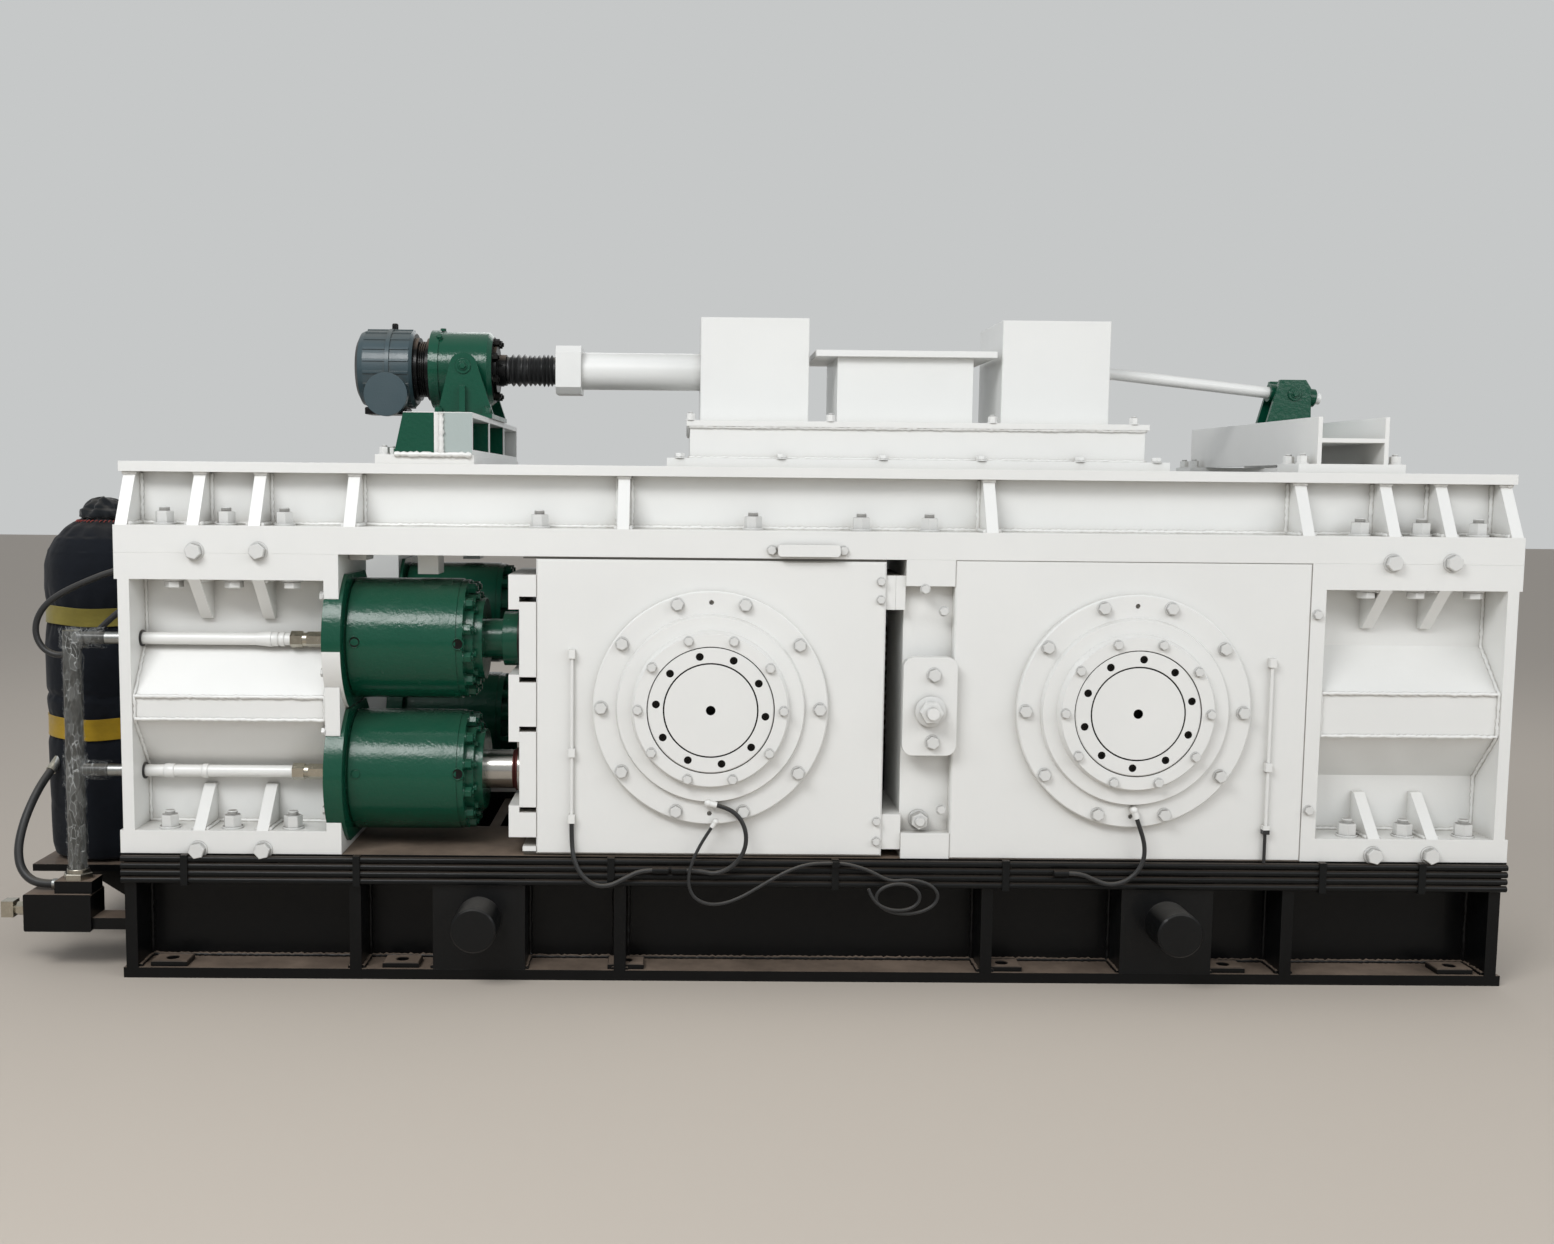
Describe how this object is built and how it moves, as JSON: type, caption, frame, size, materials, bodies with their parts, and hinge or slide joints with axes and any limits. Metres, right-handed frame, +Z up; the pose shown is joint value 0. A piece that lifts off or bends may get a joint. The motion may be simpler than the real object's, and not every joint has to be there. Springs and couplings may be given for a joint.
{
  "type": "high pressure grinding roll",
  "caption": "Double roll crusher with a floating roll pressed by hydraulic cylinders in a welded frame, with feed chute, gate actuator and accumulators.",
  "frame": {"origin": "centre of the anchor bolt pattern, on the floor", "axes": "+X along the machine from the cylinder end to the fixed end, +Y towards the drive side, +Z up"},
  "size_m": [5.172, 2.045, 2.302],
  "materials": {
    "black_enamel": "gloss enamel",
    "blue_cover": "quilted cloth cover",
    "black_rubber": "matt",
    "green_enamel": "gloss enamel",
    "motor_grey": "satin enamel",
    "white_enamel": "gloss enamel",
    "bright_steel": "ground",
    "forged_steel": "turned",
    "roll_steel": "rough",
    "galvanised_pipe": "satin",
    "black_pipe": "satin",
    "hose_rubber": "semi-matt"
  },
  "bodies": {
    "frame": {"accumulator_shelf": "black_enamel", "accumulators": "blue_cover", "actuator_bracket": "green_enamel", "actuator_stand": "white_enamel", "adjuster_bracket": "green_enamel", "base_cross_members": "black_enamel", "base_girders": "black_enamel", "centre_stops": "white_enamel", "clamp_plates": "white_enamel", "cross_beam": "white_enamel", "cylinders": "green_enamel", "end_walls": "white_enamel", "feed_chute": "white_enamel", "feed_subframe": "white_enamel", "fixed_bearing_covers": "white_enamel", "fixed_cover_hose": "hose_rubber", "fixed_grease_lines": "white_enamel", "fixed_housings": "white_enamel", "floating_cover_hose": "hose_rubber", "floating_grease_hose": "hose_rubber", "gate_boxes": "white_enamel", "hydraulic_lines": "galvanised_pipe", "left_end_posts": "white_enamel", "lifting_trunnions": "black_enamel", "loop_hose": "hose_rubber", "manifold_blocks": "black_enamel", "pipe_bundle": "black_pipe", "return_hose": "hose_rubber", "right_end_posts": "white_enamel", "sensor_cable": "hose_rubber", "sensor_coil": "hose_rubber", "slide_liners": "bright_steel", "top_beams": "white_enamel"},
    "carriage": {"floating_housings": "white_enamel", "floating_bearing_covers": "white_enamel", "floating_spacers": "white_enamel", "thrust_plate_hooks": "white_enamel", "thrust_plates": "white_enamel", "cylinder_rods": "bright_steel", "floating_grease_lines": "white_enamel"},
    "floating_roll": {"floating_roll_shaft": "forged_steel", "floating_roll_tyre": "roll_steel"},
    "fixed_roll": {"fixed_roll_shaft": "forged_steel", "fixed_roll_tyre": "roll_steel"},
    "actuator": {"actuator_gearbox": "green_enamel", "actuator_motor": "motor_grey", "actuator_bellows": "black_rubber"},
    "push_tube": {"push_tube": "white_enamel"},
    "adjusting_rod": {"adjusting_rod": "white_enamel"}
  },
  "joints": [
    {"name": "carriage_slide", "type": "slide", "parent": "frame", "child": "carriage", "axis": [-1, 0, 0], "range_m": [0, 0.045], "deforming": ["floating_grease_hose", "floating_cover_hose", "sensor_cable"]},
    {"name": "floating_roll_spin", "type": "hinge", "parent": "carriage", "child": "floating_roll", "pos_m": [-0.369, 0, 0.947], "axis": [0, 1, 0], "continuous": true},
    {"name": "fixed_roll_spin", "type": "hinge", "parent": "frame", "child": "fixed_roll", "pos_m": [1.055, 0, 0.947], "axis": [0, 1, 0], "continuous": true},
    {"name": "actuator_tilt", "type": "hinge", "parent": "frame", "child": "actuator", "pos_m": [-1.277, 0, 2.118], "axis": [0, 1, 0], "range_deg": [-0.45, 0.45]},
    {"name": "push_tube_slide", "type": "slide", "parent": "actuator", "child": "push_tube", "axis": [1, 0, 0], "range_m": [-0.06, 0.06], "deforming": ["actuator_bellows"]},
    {"name": "adjusting_rod_slide", "type": "slide", "parent": "frame", "child": "adjusting_rod", "axis": [0.9943, 0, -0.1063], "range_m": [-0.05, 0.05]}
  ],
  "couplings": [
    {"joint": "actuator_tilt", "follows": "push_tube_slide", "rad_per_m": 0.12}
  ]
}
